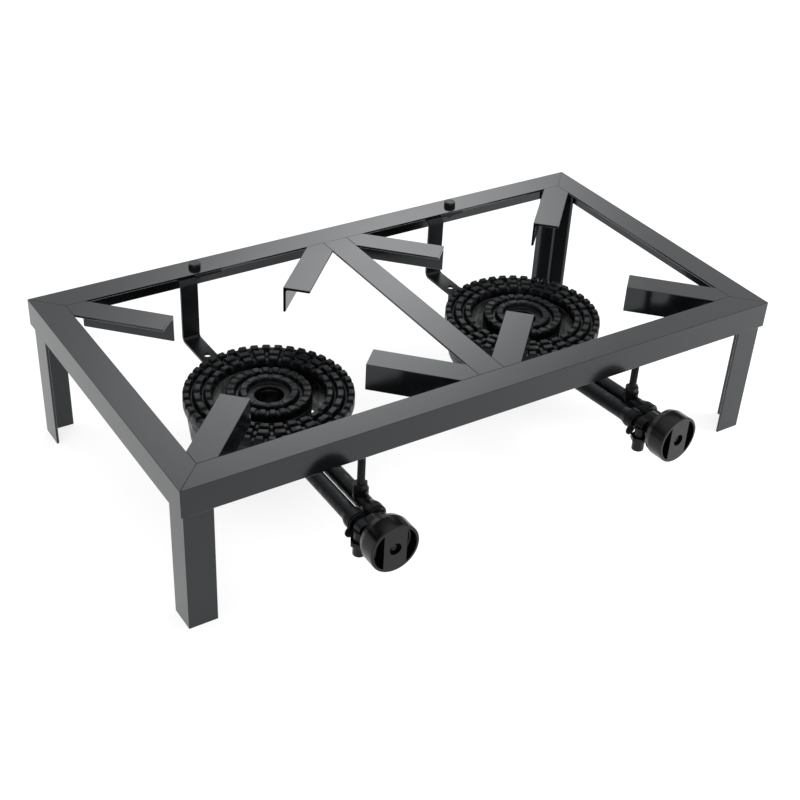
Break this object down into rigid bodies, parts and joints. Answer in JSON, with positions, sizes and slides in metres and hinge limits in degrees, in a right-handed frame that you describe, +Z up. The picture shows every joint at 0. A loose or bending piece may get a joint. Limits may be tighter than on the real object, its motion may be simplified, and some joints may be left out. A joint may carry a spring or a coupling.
{
  "type": "gas boiling table",
  "caption": "Low angle-iron stock pot range: rectangular stand with a centre bar, pot rests, ringed cast-iron burners on straps, and gas taps with knobs at the front.",
  "frame": {"origin": "on the floor, below the middle of the part's outer box", "axes": "+X along the front, to the right as the user sees it; +Y from the user to the back; +Z up"},
  "size_m": [0.7, 0.4346, 0.1703],
  "materials": {
    "frame_paint": "smooth gloss black stove enamel",
    "burner_iron": "rough black cast iron",
    "bracket_paint": "semi-gloss black paint",
    "tap_paint": "semi-gloss black paint over a cast and turned tap",
    "jet_brass": "turned brass",
    "spring_steel": "plain spring steel",
    "shutter_steel": "blackened sheet steel",
    "knob_plastic": "moulded black phenolic with a soft sheen",
    "fastener_steel": "blackened steel"
  },
  "bodies": {
    "frame": {"front_rail": "frame_paint", "back_rail": "frame_paint", "left_rail": "frame_paint", "right_rail": "frame_paint", "centre_bar": "frame_paint", "front_left_leg": "frame_paint", "front_right_leg": "frame_paint", "back_left_leg": "frame_paint", "back_right_leg": "frame_paint", "left_bay_front_left_rest": "frame_paint", "left_bay_front_right_rest": "frame_paint", "left_bay_back_left_rest": "frame_paint", "left_bay_back_right_rest": "frame_paint", "right_bay_front_left_rest": "frame_paint", "right_bay_front_right_rest": "frame_paint", "right_bay_back_left_rest": "frame_paint", "right_bay_back_right_rest": "frame_paint", "left_burner_casting": "burner_iron", "left_outer_ring_cap": "burner_iron", "left_inner_ring_cap": "burner_iron", "left_back_strap": "bracket_paint", "left_hanger_rod": "bracket_paint", "left_tap_body": "tap_paint", "left_gland_nut": "tap_paint", "left_inlet_union": "tap_paint", "left_injectors": "tap_paint", "right_burner_casting": "burner_iron", "right_outer_ring_cap": "burner_iron", "right_inner_ring_cap": "burner_iron", "right_back_strap": "bracket_paint", "right_hanger_rod": "bracket_paint", "right_tap_body": "tap_paint", "right_gland_nut": "tap_paint", "right_inlet_union": "tap_paint", "right_injectors": "tap_paint", "strap_bolts": "fastener_steel", "strap_nuts": "fastener_steel", "lug_bolts": "fastener_steel", "lug_nuts": "fastener_steel", "hanger_nuts": "fastener_steel"},
    "left_knob": {"left_knob": "knob_plastic", "left_knob_screw": "fastener_steel", "left_valve_plug": "jet_brass", "left_spring_washer": "spring_steel"},
    "left_inner_ring_air_shutter": {"left_inner_ring_air_shutter": "shutter_steel"},
    "left_outer_ring_air_shutter": {"left_outer_ring_air_shutter": "shutter_steel"},
    "right_knob": {"right_knob": "knob_plastic", "right_knob_screw": "fastener_steel", "right_valve_plug": "jet_brass", "right_spring_washer": "spring_steel"},
    "right_inner_ring_air_shutter": {"right_inner_ring_air_shutter": "shutter_steel"},
    "right_outer_ring_air_shutter": {"right_outer_ring_air_shutter": "shutter_steel"}
  },
  "joints": [
    {"name": "left_gas_knob_turn", "type": "hinge", "parent": "frame", "child": "left_knob", "pos_m": [-0.1665, -0.20775, 0.073], "axis": [0, -1, 0], "range_deg": [0, 90]},
    {"name": "left_inner_ring_air_shutter_turn", "type": "hinge", "parent": "frame", "child": "left_inner_ring_air_shutter", "pos_m": [-0.177, -0.16665, 0.073], "axis": [0, 1, 0], "range_deg": [0, 90]},
    {"name": "left_outer_ring_air_shutter_turn", "type": "hinge", "parent": "frame", "child": "left_outer_ring_air_shutter", "pos_m": [-0.156, -0.16665, 0.073], "axis": [0, -1, 0], "range_deg": [0, 90]},
    {"name": "right_gas_knob_turn", "type": "hinge", "parent": "frame", "child": "right_knob", "pos_m": [0.1855, -0.20265, 0.073], "axis": [0.0958, -0.9954, 0], "range_deg": [0, 90]},
    {"name": "right_inner_ring_air_shutter_turn", "type": "hinge", "parent": "frame", "child": "right_inner_ring_air_shutter", "pos_m": [0.17111, -0.16274, 0.073], "axis": [-0.0958, 0.9954, 0], "range_deg": [0, 90]},
    {"name": "right_outer_ring_air_shutter_turn", "type": "hinge", "parent": "frame", "child": "right_outer_ring_air_shutter", "pos_m": [0.19202, -0.16073, 0.073], "axis": [0.0958, -0.9954, 0], "range_deg": [0, 90]}
  ]
}
